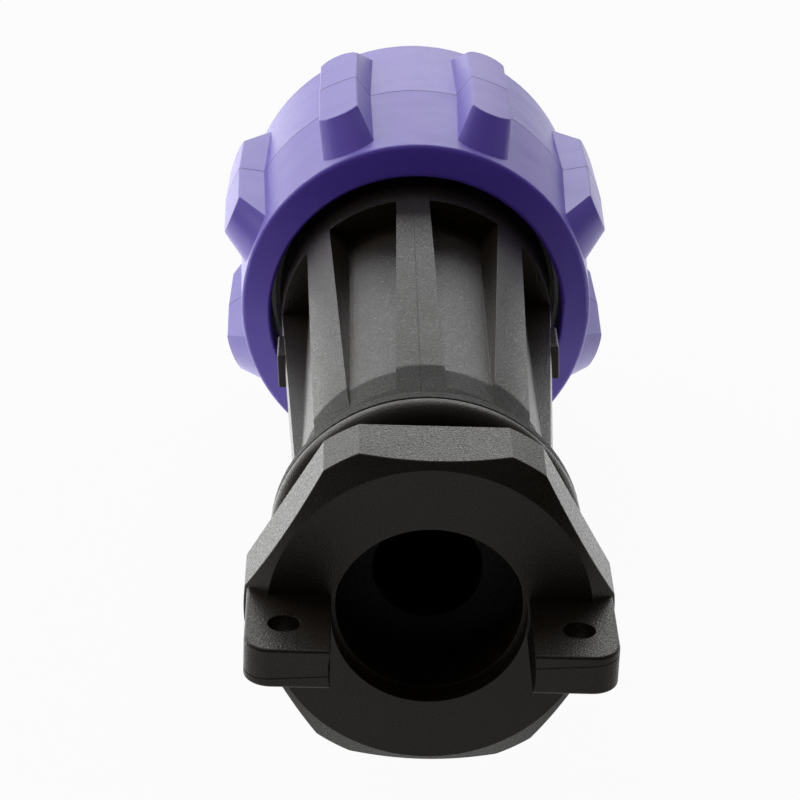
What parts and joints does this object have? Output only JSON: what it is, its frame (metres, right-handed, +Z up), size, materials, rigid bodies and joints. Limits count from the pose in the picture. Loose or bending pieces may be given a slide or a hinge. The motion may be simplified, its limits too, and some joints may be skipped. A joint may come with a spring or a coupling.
{
  "type": "circular connector socket",
  "caption": "Cable-mounted circular power connector: fluted black body, hexagonal gland nut with clamp ears, and a lugged purple coupling ring around recessed socket contacts.",
  "frame": {"origin": "centre of the gland nut's front face, on the connector axis", "axes": "+Y along the connector axis from the cable entry to the mating end, +Z up, +X to the right as seen from the cable end"},
  "size_m": [0.063, 0.1643, 0.063],
  "materials": {
    "black_plastic": "fine-grained moulded thermoplastic",
    "purple_plastic": "satin moulded thermoplastic",
    "black_rubber": "soft matte rubber",
    "insert_plastic": "glass-filled contact carrier",
    "white_plastic": "smooth low-friction washer",
    "brass": "turned brass",
    "steel": "zinc-plated steel"
  },
  "bodies": {
    "housing": {"body_shell": "black_plastic", "contact_1": "brass", "contact_2": "brass", "contact_3": "brass", "contact_4": "brass", "contact_5": "brass", "contact_insert": "insert_plastic", "contact_plate": "insert_plastic", "front_gasket": "black_rubber", "gland_body": "black_plastic", "gland_gasket": "black_rubber", "gland_seal": "black_rubber", "insert_clip": "steel", "plate_screw_1": "steel", "plate_screw_2": "steel", "terminal_screw_1": "steel", "terminal_screw_2": "steel", "terminal_screw_3": "steel", "terminal_screw_4": "steel", "terminal_screw_5": "steel", "thrust_washer": "white_plastic"},
    "ring": {"coupling_ring": "purple_plastic", "ring_retainer": "steel"},
    "follower": {"gland_follower": "black_plastic"},
    "nut": {"gland_nut": "black_plastic"}
  },
  "joints": [
    {"name": "ring_turn", "type": "hinge", "parent": "housing", "child": "ring", "pos_m": [0, 0.1245, 0], "axis": [0, 1, 0], "continuous": true},
    {"name": "gland_travel", "type": "slide", "parent": "housing", "child": "follower", "axis": [0, 1, 0], "range_m": [-0.0015, 0.003]},
    {"name": "gland_turn", "type": "hinge", "parent": "follower", "child": "nut", "pos_m": [0, 0.0057, 0], "axis": [0, 1, 0], "range_deg": [-360, 720]}
  ],
  "couplings": [
    {"joint": "gland_travel", "follows": "gland_turn", "m_per_rad": 0.0002387}
  ]
}
